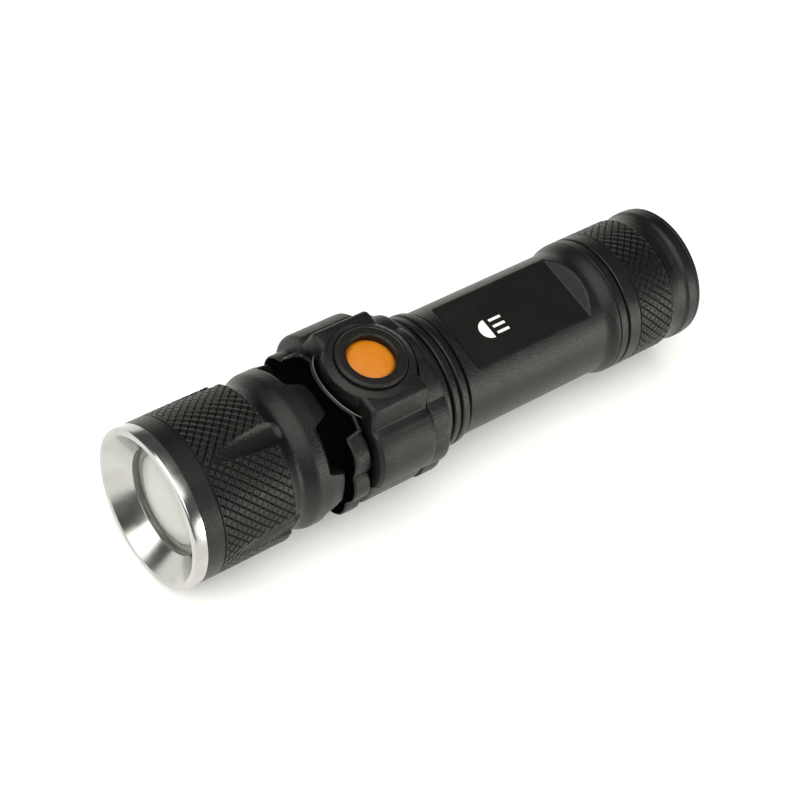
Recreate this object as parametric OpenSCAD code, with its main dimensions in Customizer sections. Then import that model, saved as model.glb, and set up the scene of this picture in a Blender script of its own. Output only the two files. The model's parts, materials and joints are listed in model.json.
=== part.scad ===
// Zoom torch with a side button: a sliding head, a front barrel with a switch collar,
// a battery tube and a screw-on tail cap, all on one axis along Y.
// The lens faces -Y, the button faces +Z, and the torch lies on the flat under its collar.
// A station is a distance behind the front face, measured along the axis.

/* [Overall] */
// Length from the bezel's front face to the tail's end face
overall_l = 130; // [130:1:140]
// Height of the axis above the surface the torch lies on
axis_h = 17.4; // [17.4:0.1:18]

/* [Head] */
// Outer radius of the head sleeve and bezel
head_r = 16.5; // [16.4:0.1:16.8]
// Station of the seam between bezel and sleeve
bezel_band = 2.6; // [2:0.1:3]
// Radius of the bezel's clear aperture
aperture_r = 11; // [10:0.1:11.5]
// Station where the knurl ends and the neck starts
knurl_end = 22.3; // [20:0.1:23]
// Smallest radius of the neck behind the knurl
neck_r = 15; // [14.9:0.1:15.4]
// Radius of the crown at the sleeve's rear
crown_r = 16.2; // [16:0.1:16.6]
// Station of the sleeve's rear edge
head_end = 35; // [34:0.1:35.6]
// Number of finger flutes, and of notches in the crown
petals = 5; // [4:1:6]
// Angle of the first flute from the button
petal_phase = 13.5; // [0:0.5:72]
// Angle of the first notch in the crown from the button
notch_phase = 40; // [0:0.5:72]
// How far the head slides forward to narrow the beam
zoom_travel = 8; // [4:0.5:8]

/* [Collar] */
// Station of the button's axis
button_s = 47.5; // [47:0.1:48]
// Height of the collar's flat top above the axis
plate_h = 18.4; // [18:0.1:18.6]
// Half width of the flat top
plate_half_w = 10.4; // [9.8:0.1:10.6]
// Length of the pads along the axis
pad_l = 13.4; // [12.4:0.1:13.6]
// Angle of the side pads from the button
side_pad_a = 64; // [60:1:66]
// Station of the collar's front face
collar_front = 36.3; // [36.1:0.1:36.6]
// Station of the collar's rear face
collar_rear = 60.2; // [59.8:0.1:60.3]
// Number of small lobes round each flange
flange_lobes = 12; // [8:1:16]

/* [Button] */
// Outer radius of the button's trim ring
trim_r = 7.2; // [7:0.05:7.4]
// Radius of the opening that shows the button
opening_r = 4.95; // [4.6:0.05:5.1]
// Height of the trim ring's top above the axis
trim_h = 19.8; // [19.6:0.1:20]
// How far the button can be pressed
press_travel = 0.6; // [0.5:0.1:0.6]

/* [Tube] */
// Outer radius of the battery tube
tube_r = 13.5; // [13.2:0.1:13.6]
// Station of the tube's front end
tube_front = 67.5; // [67.4:0.1:68]
// Depth of the flat below the tube's surface
flat_depth = 2.7; // [2:0.1:2.8]
// Station where the flat's floor starts
flat_front = 71; // [70:0.5:74]
// Station where the flat's floor ends
flat_rear = 100.5; // [98:0.5:101]
// Station of the seam between the tube and the tail cap
cap_seam = 109.1; // [108.8:0.1:109.4]
// Outer radius of the tail cap
cap_r = 14.5; // [14.4:0.1:14.7]

/* [Battery] */
// Radius of the wrapped cell
cell_r = 9.2; // [9:0.05:9.25]
// Length of the cell without its raised terminal
cell_l = 64.2; // [64:0.1:64.6]
// Station of the cell's terminal tip
cell_s = 49.6; // [49.4:0.1:49.8]

/* [Hidden] */
$fn = 96;
eps = 0.01;

// Bores and sliding fits
slide_r = 13.4;
slide_clear = 0.06;
stop_bore_r = 14.15;
stop_shoulder = 15.4 + zoom_travel;
cell_bore_r = 9.7;
thread_r = 11.9;
thread_clear = 0.08;
bezel_thread_r = 15.1;
face_gap = 0.05;
groove_depth = 1.2;
pill_bore_r = 11.5;
lead_hole_r = 3;
neck_thread_r = 12.2;
tail_well_r = 11.5;

// Stations inside the head
lens_seat = 5.2;
lens_back = 6.9;
seal_shoulder = 8.1;

// Stations and grooves on the barrel
barrel_front = 13;
led_board_rear = 14;
clip_s = 14.2;
clip_w = 1;
clip_groove_r = 12.7;
pill_floor = 20;
zoom_seal_s = 24.6;
seal_groove_r = slide_r - 1.35;
web_rear = 38;
board_seat = 42;
board_t = 1.2;
ring_a = 60.4;
barrel_rear = 66.8;
tube_neck_front = 59.2;
tube_seal_s = 65.4;

// Switch, by height above the axis
switch_flat_h = 11;
switch_flat_s = 46.8;
switch_flat_l = 16;
tact_body_h = 2.4;
plunger_r = 1.7;
plunger_top_h = 15.9;
post_h = plunger_top_h + press_travel / 2 + 0.05;
trim_seat_h = 18;
button_well_r = 6.2;
boss_r = 9.2;
boss_top_r = 8;
boss_rise = 0.6;
boss_gap = 1.1;
groove_r = 14.6;
flex_s = 40;
flex_y = 1;

// Collar pads
pad_front = button_s - pad_l / 2;
pad_rear = button_s + pad_l / 2;

// Stations of the tail
cell_end = cell_s + 1 + cell_l;
tail_spring_l = 5;
tail_board_s = cell_end + tail_spring_l;
tube_end = tail_board_s - 1.4;
tail_seal_s = cap_seam + 1.4;

// ---------- Placing ----------

// Turns a shape built on stations (its own z) onto the torch's axis; its -y side faces up.
module on_axis() {
    translate([0, -overall_l / 2, axis_h]) rotate([-90, 0, 0]) children();
}

// Places a shape at a height above the axis, over the button's station.
module over_axis(h, s = button_s) {
    translate([0, s - overall_l / 2, axis_h + h]) children();
}

// Repeats a shape that faces up, n times round the axis.
module around(n, first = 0) {
    for (i = [0 : n - 1]) rotate([0, 0, first + i * 360 / n]) children();
}

// A ring between two stations.
module ring(s0, s1, r_out, r_in) {
    translate([0, 0, s0]) difference() {
        cylinder(r = r_out, h = s1 - s0);
        translate([0, 0, -eps]) cylinder(r = r_in, h = s1 - s0 + 2 * eps);
    }
}

// A round-section ring, such as an O-ring, centred on a station.
module o_ring(s, ring_r, section_r) {
    translate([0, 0, s]) rotate_extrude() translate([ring_r, 0]) circle(r = section_r, $fn = 32);
}

// A flat disc from a station towards the rear.
module disc(s, r, h) {
    translate([0, 0, s]) cylinder(r = r, h = h);
}

// One point on a spring's wire: u is the way along it from 0 to 1, a the angle round the wire.
function wire_point(u, a, s0, s1, coil_r, wire_r, turns) =
    let (turned = 360 * turns * u, reach = coil_r + wire_r * cos(a))
    [reach * cos(turned), reach * sin(turned),
     s0 + wire_r + (s1 - s0 - 2 * wire_r) * u + wire_r * sin(a)];

// A helical compression spring between two stations.
module coil(s0, s1, coil_r, wire_r, turns) {
    sides = 8;
    steps = 20 * turns;
    points = [for (i = [0 : steps], k = [0 : sides - 1])
        wire_point(i / steps, 360 * k / sides, s0, s1, coil_r, wire_r, turns)];
    skin = [for (i = [0 : steps - 1], k = [0 : sides - 1]) let (next = (k + 1) % sides)
        [i * sides + k, i * sides + next, (i + 1) * sides + next, (i + 1) * sides + k]];
    front_end = [for (k = [sides - 1 : -1 : 0]) k];
    rear_end = [for (k = [0 : sides - 1]) steps * sides + k];
    polyhedron(points, concat([front_end], skin, [rear_end]));
}

// ---------- Head ----------

module bezel_ring() {
    chamfer = 0.4;
    rim = 0.9;
    cone_end = 4;
    color("silver") on_axis() rotate_extrude() polygon([
        [head_r - rim, 0], [head_r - chamfer, 0], [head_r, chamfer], [head_r, bezel_band],
        [bezel_thread_r, bezel_band], [bezel_thread_r, seal_shoulder - 0.1],
        [12.2, seal_shoulder - 0.1], [12.2, lens_seat], [aperture_r, lens_seat],
        [aperture_r, cone_end]
    ]);
}

module lens() {
    flange_r = 12.1;
    dome_rim_r = 9.8;
    dome_rise = 2.6;
    dome_r = (dome_rim_r * dome_rim_r + dome_rise * dome_rise) / (2 * dome_rise);
    color([0.85, 0.92, 0.95, 0.5]) on_axis() rotate_extrude() union() {
        translate([0, lens_seat + face_gap]) square([flange_r, lens_back - lens_seat - face_gap]);
        intersection() {
            translate([0, lens_seat - dome_rise + dome_r]) circle(r = dome_r, $fn = 200);
            translate([0, lens_seat - dome_rise]) square([dome_rim_r, dome_rise + eps]);
        }
    }
}

module lens_seal() {
    section_r = (seal_shoulder - lens_back - face_gap) / 2;
    color("dimgray") on_axis() o_ring(lens_back + section_r, 11.3, section_r);
}

// Half section of the sleeve; a circle that just reaches neck_r cuts the concave neck.
module sleeve_outline() {
    line_s = 6.5;
    neck_s = 25.4;
    neck_cut_r = 4.2;
    shoulder_w = 1;
    bore_r = slide_r + slide_clear;
    difference() {
        polygon([
            [bezel_thread_r + 0.05, bezel_band], [head_r, bezel_band], [head_r, line_s - 0.25],
            [head_r - 0.3, line_s], [head_r, line_s + 0.25], [head_r, knurl_end - 0.7],
            [head_r - 0.7, knurl_end], [neck_r + 0.5, knurl_end + 0.7],
            [crown_r, knurl_end + 6.4], [crown_r, 31.2], [crown_r - 0.6, head_end],
            [bore_r, head_end], [bore_r, stop_shoulder], [stop_bore_r, stop_shoulder],
            [stop_bore_r, seal_shoulder + shoulder_w], [aperture_r, seal_shoulder + shoulder_w],
            [aperture_r, seal_shoulder], [bezel_thread_r + 0.05, seal_shoulder]
        ]);
        translate([neck_r + neck_cut_r, neck_s]) circle(r = neck_cut_r);
    }
}

// A faceted groove that starts at the neck and runs out towards the front.
module flute() {
    cutter_r = 3;
    depth = 1.5;
    run_out = 11.5;
    translate([0, -(head_r + cutter_r - depth), knurl_end + 0.5])
        rotate([180 - atan(depth / run_out), 0, 0])
            cylinder(r = cutter_r, h = run_out + cutter_r, $fn = 12);
}

// A square notch through the crown's rear edge, open to the bore.
module crown_notch() {
    notch_w = 10.6;
    notch_front = 31.4;
    translate([-notch_w / 2, -crown_r - 2, notch_front])
        cube([notch_w, 7, head_end - notch_front + 1]);
}

module head_sleeve() {
    color([0.09, 0.09, 0.1]) on_axis() difference() {
        rotate_extrude() sleeve_outline();
        around(petals, petal_phase) flute();
        around(petals, notch_phase) crown_notch();
    }
}

// ---------- Front barrel and light source ----------

module front_barrel() {
    color([0.08, 0.08, 0.09]) difference() {
        on_axis() rotate_extrude() polygon([
            [pill_bore_r, barrel_front], [slide_r - 0.4, barrel_front],
            [slide_r, barrel_front + 0.4], [slide_r, clip_s - 0.1],
            [clip_groove_r, clip_s - 0.1], [clip_groove_r, clip_s + clip_w + 0.1],
            [slide_r, clip_s + clip_w + 0.1], [slide_r, zoom_seal_s - 0.8],
            [seal_groove_r, zoom_seal_s - 0.8], [seal_groove_r, zoom_seal_s + 0.8],
            [slide_r, zoom_seal_s + 0.8], [slide_r, ring_a],
            [14.2, ring_a], [14.5, ring_a + 0.3], [14.5, ring_a + 1.2], [14.2, ring_a + 1.5],
            [13.5, ring_a + 1.7], [13.5, ring_a + 2.1],
            [14.1, ring_a + 2.3], [14.3, ring_a + 2.6], [14.3, ring_a + 3.4], [14.1, ring_a + 3.7],
            [13.6, ring_a + 3.9], [13.6, ring_a + 4.2],
            [14.1, ring_a + 4.4], [14.3, ring_a + 4.7], [14.3, ring_a + 5.9],
            [14, barrel_rear], [thread_r + thread_clear, barrel_rear],
            [thread_r + thread_clear, tube_neck_front - 0.2],
            [cell_bore_r, tube_neck_front - 0.2],
            [cell_bore_r, board_seat], [9, board_seat], [9, web_rear],
            [lead_hole_r, web_rear], [lead_hole_r, pill_floor], [pill_bore_r, pill_floor]
        ]);
        over_axis(switch_flat_h + 5, switch_flat_s) cube([16, switch_flat_l, 10], center = true);
        over_axis(0, flex_s) cylinder(r = 1.6, h = switch_flat_h + 1);
    }
}

module zoom_seal() {
    section_r = 0.65;
    color("black") on_axis() o_ring(zoom_seal_s, slide_r - section_r, section_r);
}

// Open clip in the barrel's front groove that stops the head from sliding off.
module stop_clip() {
    color("silver") on_axis() difference() {
        ring(clip_s, clip_s + clip_w, stop_bore_r - 0.15, clip_groove_r + 0.05);
        translate([0, slide_r, clip_s]) cube([5, 6, 4], center = true);
    }
}

module led_pill() {
    color("goldenrod") on_axis() difference() {
        ring(led_board_rear, pill_floor, pill_bore_r - 0.05, lead_hole_r);
        for (side = [-1, 1]) translate([side * 8.5, 0, led_board_rear - eps]) cylinder(r = 1, h = 2);
    }
}

module led_board() {
    color("white") on_axis() disc(led_board_rear - board_t, 10, board_t);
}

module led_emitter() {
    color("gold") on_axis() translate([0, 0, led_board_rear - 1.55]) cube([3.5, 3.5, 0.7], center = true);
}

module led_dome() {
    dome_r = 1.5;
    base_s = led_board_rear - 1.9;
    color([0.95, 0.95, 0.8, 0.6]) on_axis() difference() {
        translate([0, 0, base_s]) sphere(r = dome_r);
        translate([0, 0, base_s + dome_r]) cube(2 * dome_r, center = true);
    }
}

module led_leads() {
    color("red") on_axis() for (side = [-1, 1])
        translate([side * 1.3, 0, led_board_rear]) cylinder(r = 0.5, h = board_seat - led_board_rear);
}

module driver_board() {
    color("darkgreen") on_axis() disc(board_seat, cell_bore_r - 0.1, board_t);
}

// A coil, a chip and a capacitor on the front of the driver board.
module driver_parts() {
    color("darkslategray") on_axis() {
        translate([0, 5.2, board_seat - 1.25]) cube([5, 5, 2.5], center = true);
        translate([-4.8, -2.4, board_seat - 0.75]) cube([4, 5, 1.5], center = true);
        translate([4.8, -2.4, board_seat - 1]) cube([2.5, 4, 2], center = true);
    }
}

module front_spring() {
    color("goldenrod") on_axis() coil(board_seat + board_t, cell_s - face_gap, 2.2, 0.4, 5);
}

// ---------- Switch collar and button ----------

// Outline of the collar's round band with its flat top, two side pads and flat base.
module pad_outline() {
    band_r = 16.5;
    shoulder_x = 11.7;
    shoulder_y = 13.4;
    side_r = 10.5;
    side_reach = 19.2;
    base_half_w = 8.5;
    circle(r = band_r);
    polygon([
        [-plate_half_w, -plate_h], [plate_half_w, -plate_h],
        [shoulder_x, -shoulder_y], [-shoulder_x, -shoulder_y]
    ]);
    polygon([
        [-base_half_w, axis_h], [base_half_w, axis_h],
        [base_half_w + 3, axis_h - 5], [-base_half_w - 3, axis_h - 5]
    ]);
    for (side = [-1, 1]) scale([side, 1]) rotate(side_pad_a) intersection() {
        translate([0, side_r - side_reach]) circle(r = side_r);
        polygon([[0, 0], [-16, -14], [-8, -22], [0, -22], [8.4, -22]]);
    }
}

// Outline of a flange: a circle with small round lobes.
module flange_outline(lobe_out) {
    lobe_r = 2.8;
    circle(r = lobe_out - 1.2);
    around(flange_lobes) translate([0, lobe_r - lobe_out]) circle(r = lobe_r, $fn = 48);
}

module flange(s0, s1, lobe_out) {
    difference() {
        on_axis() translate([0, 0, s0]) linear_extrude(s1 - s0) flange_outline(lobe_out);
        over_axis(groove_r) cylinder(r = boss_r + boss_gap, h = 6);
    }
}

module switch_collar() {
    front_lobe_out = 16.9;
    rear_lobe_out = 17.2;
    color([0.13, 0.13, 0.13]) difference() {
        union() {
            on_axis() ring(collar_front, collar_rear, groove_r, slide_r);
            flange(collar_front, pad_front - 0.9, front_lobe_out);
            flange(pad_rear + 0.9, collar_rear, rear_lobe_out);
            on_axis() translate([0, 0, pad_front]) linear_extrude(pad_l) pad_outline();
            over_axis(groove_r - 2) cylinder(r = boss_r, h = plate_h - groove_r + 2);
            over_axis(plate_h) cylinder(r1 = boss_r, r2 = boss_top_r, h = boss_rise);
        }
        on_axis() translate([0, 0, collar_front - 1])
            cylinder(r = slide_r + 0.02, h = collar_rear - collar_front + 2);
        over_axis(slide_r - 2) cylinder(r = button_well_r, h = 10);
        over_axis(trim_seat_h) cylinder(r = trim_r + 0.05, h = 4);
    }
}

module trim_ring() {
    bevel = 0.25;
    color([0.1, 0.1, 0.1]) over_axis(0) rotate_extrude() polygon([
        [opening_r, trim_seat_h], [trim_r, trim_seat_h], [trim_r, trim_h - bevel],
        [trim_r - bevel, trim_h], [opening_r + bevel, trim_h], [opening_r, trim_h - bevel]
    ]);
}

// The cap's flange is held under the trim ring; its post stands over the switch.
module button_cap() {
    cap_flange_r = 6;
    post_r = 2.2;
    face_r = opening_r - 0.1;
    face_h = trim_h - 1.1;
    color("orange") over_axis(0) rotate_extrude() polygon([
        [0, post_h], [post_r, post_h], [post_r, trim_seat_h - 1], [cap_flange_r, trim_seat_h - 1],
        [cap_flange_r, trim_seat_h - 0.1], [face_r, trim_seat_h - 0.1], [face_r, face_h - 0.3],
        [face_r - 0.4, face_h], [0, face_h]
    ]);
}

module switch_board() {
    color("darkgreen") over_axis(switch_flat_h + board_t / 2) cube([10.6, 12, board_t], center = true);
}

module tact_switch() {
    color("dimgray") over_axis(switch_flat_h + board_t) difference() {
        translate([0, 0, tact_body_h / 2]) cube([6, 6, tact_body_h], center = true);
        translate([0, 0, 0.5]) cylinder(r = plunger_r + 0.05, h = tact_body_h);
    }
}

module tact_plunger() {
    plunger_base_h = switch_flat_h + board_t + 1;
    color("black") over_axis(plunger_base_h) cylinder(r = plunger_r, h = plunger_top_h - plunger_base_h);
}

// Flat lead from the switch board down into the barrel, and back to the driver board.
module switch_flex() {
    flex_t = 0.2;
    flex_w = 2;
    drop = switch_flat_h - flex_y;
    foot = board_seat - flex_s;
    color("peru") {
        over_axis(flex_y, flex_s + foot / 2) cube([flex_w, foot, flex_t], center = true);
        over_axis(switch_flat_h + flex_t / 2, (flex_s + button_s - 6) / 2)
            cube([flex_w, button_s - 6 - flex_s, flex_t], center = true);
        over_axis(flex_y + drop / 2, flex_s + flex_t / 2)
            cube([flex_w, flex_t, drop + flex_t], center = true);
    }
}

// ---------- Battery ----------

module battery_cell() {
    bevel = 0.5;
    color("royalblue") on_axis() rotate_extrude() polygon([
        [0, cell_s + 1], [cell_r - bevel, cell_s + 1], [cell_r, cell_s + 1 + bevel],
        [cell_r, cell_end - bevel], [cell_r - bevel, cell_end], [0, cell_end]
    ]);
}

module battery_terminal() {
    color("silver") on_axis() translate([0, 0, cell_s]) cylinder(r = 2.8, h = 1);
}

module terminal_washer() {
    color("white") on_axis() ring(cell_s + 0.7, cell_s + 1, 8.4, 3.2);
}

// ---------- Battery tube ----------

// The flat on top of the tube, with a ramp up to the surface at each end.
module tube_flat() {
    ramp = flat_depth * tan(35);
    floor_y = flat_depth - tube_r;
    on_axis() rotate([90, 0, 90]) translate([0, 0, -tube_r]) linear_extrude(2 * tube_r) polygon([
        [floor_y, flat_front], [floor_y, flat_rear],
        [-tube_r, flat_rear + ramp], [-tube_r - 1, flat_rear + ramp],
        [-tube_r - 1, flat_front - ramp], [-tube_r, flat_front - ramp]
    ]);
}

module tail_tube() {
    flare_s = 103.4;
    line_s = 107.1;
    seal_w = 0.75;
    color([0.08, 0.08, 0.09]) difference() {
        on_axis() rotate_extrude() polygon([
            [cell_bore_r, tube_neck_front], [thread_r - 0.4, tube_neck_front],
            [thread_r, tube_neck_front + 0.4], [thread_r, tube_seal_s - seal_w],
            [thread_r - groove_depth, tube_seal_s - seal_w],
            [thread_r - groove_depth, tube_seal_s + seal_w],
            [thread_r, tube_seal_s + seal_w], [thread_r, tube_front], [tube_r - 0.4, tube_front],
            [tube_r, tube_front + 0.4], [tube_r, flare_s], [cap_r - 0.5, flare_s + 2.2],
            [cap_r, flare_s + 3.2], [cap_r, line_s - 0.2], [cap_r - 0.25, line_s],
            [cap_r, line_s + 0.2], [cap_r, cap_seam - 0.3], [cap_r - 0.3, cap_seam],
            [neck_thread_r, cap_seam], [neck_thread_r, tail_seal_s - seal_w],
            [neck_thread_r - groove_depth, tail_seal_s - seal_w],
            [neck_thread_r - groove_depth, tail_seal_s + seal_w],
            [neck_thread_r, tail_seal_s + seal_w], [neck_thread_r, tube_end - 0.4],
            [neck_thread_r - 0.4, tube_end], [cell_bore_r, tube_end]
        ]);
        tube_flat();
    }
}

module tube_seal() {
    section_r = 0.6;
    color("black") on_axis() o_ring(tube_seal_s, thread_r - section_r + 0.04, section_r);
}

// ---------- Tail ----------

module tail_cap() {
    line_s = 112.7;
    knurl_rear = 121.6;
    neck_s = 124;
    lip_s = 126.4;
    dish_r = 10.5;
    dish_depth = 1;
    color([0.09, 0.09, 0.1]) on_axis() rotate_extrude() polygon([
        [neck_thread_r + thread_clear, cap_seam + 0.4], [cap_r - 0.3, cap_seam + 0.4],
        [cap_r, cap_seam + 0.7], [cap_r, line_s - 0.2], [cap_r - 0.25, line_s],
        [cap_r, line_s + 0.2], [cap_r, knurl_rear], [cap_r - 0.3, knurl_rear + 0.6],
        [cap_r - 0.5, neck_s], [cap_r - 0.3, lip_s - 0.9], [cap_r, lip_s],
        [cap_r, overall_l - 1.1], [cap_r - 0.25, overall_l - 0.2], [cap_r - 0.6, overall_l],
        [dish_r, overall_l], [dish_r - 0.6, overall_l - dish_depth], [0, overall_l - dish_depth],
        [0, tail_board_s + board_t], [tail_well_r, tail_board_s + board_t],
        [tail_well_r, tube_end + 0.1], [neck_thread_r + thread_clear, tube_end + 0.1]
    ]);
}

module tail_seal() {
    section_r = 0.6;
    color("black") on_axis() o_ring(tail_seal_s, neck_thread_r - section_r + 0.04, section_r);
}

module tail_board() {
    color("darkgreen") on_axis() disc(tail_board_s, tail_well_r - face_gap, board_t - face_gap);
}

module tail_contact_ring() {
    color("goldenrod") on_axis() ring(tube_end + 0.1, tail_board_s, tail_well_r - face_gap, 8.6);
}

module tail_spring() {
    color("goldenrod") on_axis() coil(cell_end + face_gap, tail_board_s, 5, 0.5, 4);
}

bezel_ring();
lens();
lens_seal();
head_sleeve();
front_barrel();
zoom_seal();
stop_clip();
led_pill();
led_board();
led_emitter();
led_dome();
led_leads();
driver_board();
driver_parts();
front_spring();
switch_collar();
trim_ring();
button_cap();
switch_board();
tact_switch();
tact_plunger();
switch_flex();
battery_cell();
battery_terminal();
terminal_washer();
tail_tube();
tube_seal();
tail_cap();
tail_seal();
tail_board();
tail_contact_ring();
tail_spring();
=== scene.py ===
"""Zoom torch: the detailed skin of each CAD piece, its materials, and a pale studio.

Lengths in the shapes are millimetres. A station is a distance behind the front face, along
the axis. An angle round the axis is counted from the button's side (+Z) towards +X.
"""

import json
import math

import bmesh
import bpy
import numpy as np
from mathutils import Matrix, Vector


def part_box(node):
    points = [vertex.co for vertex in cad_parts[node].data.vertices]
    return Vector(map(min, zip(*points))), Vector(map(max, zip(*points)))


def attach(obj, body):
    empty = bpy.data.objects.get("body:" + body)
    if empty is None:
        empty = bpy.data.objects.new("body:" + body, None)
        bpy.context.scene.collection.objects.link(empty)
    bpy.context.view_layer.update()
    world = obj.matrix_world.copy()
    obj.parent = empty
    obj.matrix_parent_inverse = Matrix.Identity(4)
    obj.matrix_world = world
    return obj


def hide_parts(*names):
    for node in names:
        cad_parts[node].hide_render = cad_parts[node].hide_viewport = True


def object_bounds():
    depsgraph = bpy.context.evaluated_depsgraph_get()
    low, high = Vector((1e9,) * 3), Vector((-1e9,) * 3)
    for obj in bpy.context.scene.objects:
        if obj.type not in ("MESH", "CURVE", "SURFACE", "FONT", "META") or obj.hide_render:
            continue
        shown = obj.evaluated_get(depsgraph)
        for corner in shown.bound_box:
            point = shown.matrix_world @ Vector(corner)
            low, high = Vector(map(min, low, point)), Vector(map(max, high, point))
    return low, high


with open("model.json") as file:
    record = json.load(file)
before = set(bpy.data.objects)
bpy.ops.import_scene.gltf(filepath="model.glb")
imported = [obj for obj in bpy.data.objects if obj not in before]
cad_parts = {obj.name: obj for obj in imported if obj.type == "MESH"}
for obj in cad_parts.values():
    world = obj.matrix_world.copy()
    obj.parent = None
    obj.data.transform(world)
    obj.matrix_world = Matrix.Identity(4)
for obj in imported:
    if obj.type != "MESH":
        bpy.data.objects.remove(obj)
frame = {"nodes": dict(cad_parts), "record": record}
cad_low, cad_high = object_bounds()

MM = 0.001
FRONT_Y = cad_low.y
AXIS_Z = (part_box("battery_cell")[0].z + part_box("battery_cell")[1].z) / 2
LENGTH = (cad_high.y - cad_low.y) / MM
MIDDLE = Vector((0, FRONT_Y + LENGTH * MM / 2, AXIS_Z))


def stations(node):
    """First and last station of a CAD node."""
    low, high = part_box(node)
    return (low.y - FRONT_Y) / MM, (high.y - FRONT_Y) / MM


# ---------- Sizes ----------

HEAD_R = 16.5
BEZEL_BAND, HEAD_END = stations("head_sleeve")
LENS_FRONT, LENS_BACK = stations("lens")
KNURL_START = 6.85
KNURL_END = 22.3
CROWN_R = 16.2
BORE_R = 13.46
THROAT_R = 11.0
PETALS = 5
PETAL_PHASE = 13.5
NOTCH_FRONT = 31.4

COLLAR_FRONT, COLLAR_REAR = stations("switch_collar")
BUTTON_S = sum(stations("trim_ring")) / 2
TRIM_TOP = (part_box("trim_ring")[1].z - AXIS_Z) / MM
TRIM_R = (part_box("trim_ring")[1].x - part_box("trim_ring")[0].x) / 2 / MM
TRIM_SEAT = 18.0
OPENING_R = 4.95
BUTTON_FACE = (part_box("button_cap")[1].z - AXIS_Z) / MM
BUTTON_FOOT = (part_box("button_cap")[0].z - AXIS_Z) / MM
PLATE_H = 18.4
PAD_FRONT = BUTTON_S - 6.7
PAD_REAR = BUTTON_S + 6.7
BOSS_R = 9.2
GROOVE_R = 14.6
LIP_R = 16.1
CLEARANCE = BOSS_R + 1.1

BAY_R = 9.7
TUBE_R = 13.5
FLAT_H = 10.8
TAIL_R = 14.5
CAP_THREAD_R = 12.28
CAP_SEAM = stations("tail_cap")[0] - 0.4
KNURL_PERIOD = 2.0
KNURL_DEPTH = 0.24

# ---------- Meshes ----------


def add_object(name, mesh):
    piece = bpy.data.objects.new(name, mesh)
    bpy.context.scene.collection.objects.link(piece)
    return piece


def place(points):
    """Points as (radius, angle in radians, station) to the row frame in metres."""
    radius, angle, station = points
    x = radius * np.sin(angle) * MM
    y = FRONT_Y + station * MM
    z = AXIS_Z + radius * np.cos(angle) * MM
    return np.stack([x, y + 0 * x, z], axis=-1)


def signed_volume(points, faces):
    total = 0.0
    for face in faces:
        a, b, c = points[face[0]], points[face[1]], points[face[2]]
        total += a.dot(np.cross(b, c))
        if len(face) == 4:
            d = points[face[3]]
            total += a.dot(np.cross(c, d))
    return total


def shade(mesh, sharp):
    """Smooth shading, with the edges over an angle in degrees left sharp."""
    mesh.shade_smooth()
    mesh.set_sharp_from_angle(angle=math.radians(sharp))


def face_outwards(mesh):
    shape = bmesh.new()
    shape.from_mesh(mesh)
    bmesh.ops.recalc_face_normals(shape, faces=shape.faces)
    shape.to_mesh(mesh)
    shape.free()


def mesh_piece(name, points, faces, sharp=35):
    """A closed mesh with outward faces, smooth apart from its edges over the sharp angle."""
    middle = points.mean(axis=0)
    if signed_volume(points - middle, faces) < 0:
        faces = [face[::-1] for face in faces]
    mesh = bpy.data.meshes.new(name)
    mesh.from_pydata(points.tolist(), [], faces)
    shade(mesh, sharp)
    mesh.update()
    return add_object(name, mesh)


def swept_faces(rows, columns, closed, knurl=None):
    """Quads between rows of points round the axis; knurl(i, j) gives a quad's diagonal, or None."""
    faces = []
    for i in range(rows if closed else rows - 1):
        here, after = i * columns, (i + 1) % rows * columns
        for j in range(columns):
            k = (j + 1) % columns
            a, b, c, d = here + j, here + k, after + k, after + j
            diagonal = knurl(i, j) if knurl else None
            if diagonal is None:
                faces.append([a, b, c, d])
            elif diagonal:
                faces += [[a, b, c], [a, c, d]]
            else:
                faces += [[a, b, d], [b, c, d]]
    return faces


def swept(name, rows, columns, sharp=35, knurl=None):
    """A closed loop of rows round the axis; each row is (station, radius), numbers or arrays."""
    angle = np.arange(columns) * 2 * math.pi / columns
    points = [place((r + 0 * angle, angle, s + 0 * angle)) for s, r in rows]
    faces = swept_faces(len(rows), columns, True, knurl)
    return mesh_piece(name, np.concatenate(points), faces, sharp)


def fillet(corners, steps=4, closed=True):
    """A polyline with each corner (x, y, radius) rounded by an arc."""
    out = []
    n = len(corners)
    for i, corner in enumerate(corners):
        x, y = corner[0], corner[1]
        radius = corner[2] if len(corner) > 2 else 0
        if not radius or (not closed and i in (0, n - 1)):
            out.append((x, y))
            continue
        here = Vector((x, y))
        before = Vector(corners[i - 1][:2]) - here
        after = Vector(corners[(i + 1) % n][:2]) - here
        turn = before.angle(after)
        cut = min(radius / math.tan(turn / 2), before.length * 0.49, after.length * 0.49)
        start, end = here + before.normalized() * cut, here + after.normalized() * cut
        for k in range(steps + 1):
            t = k / steps
            p = start * (1 - t) ** 2 + here * 2 * t * (1 - t) + end * t * t
            out.append((p.x, p.y))
    return out


def revolved(name, corners, sharp=35):
    """A body of revolution from a closed outline of (station, radius, fillet)."""
    columns = 256
    return swept(name, fillet(corners), columns, sharp)


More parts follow.
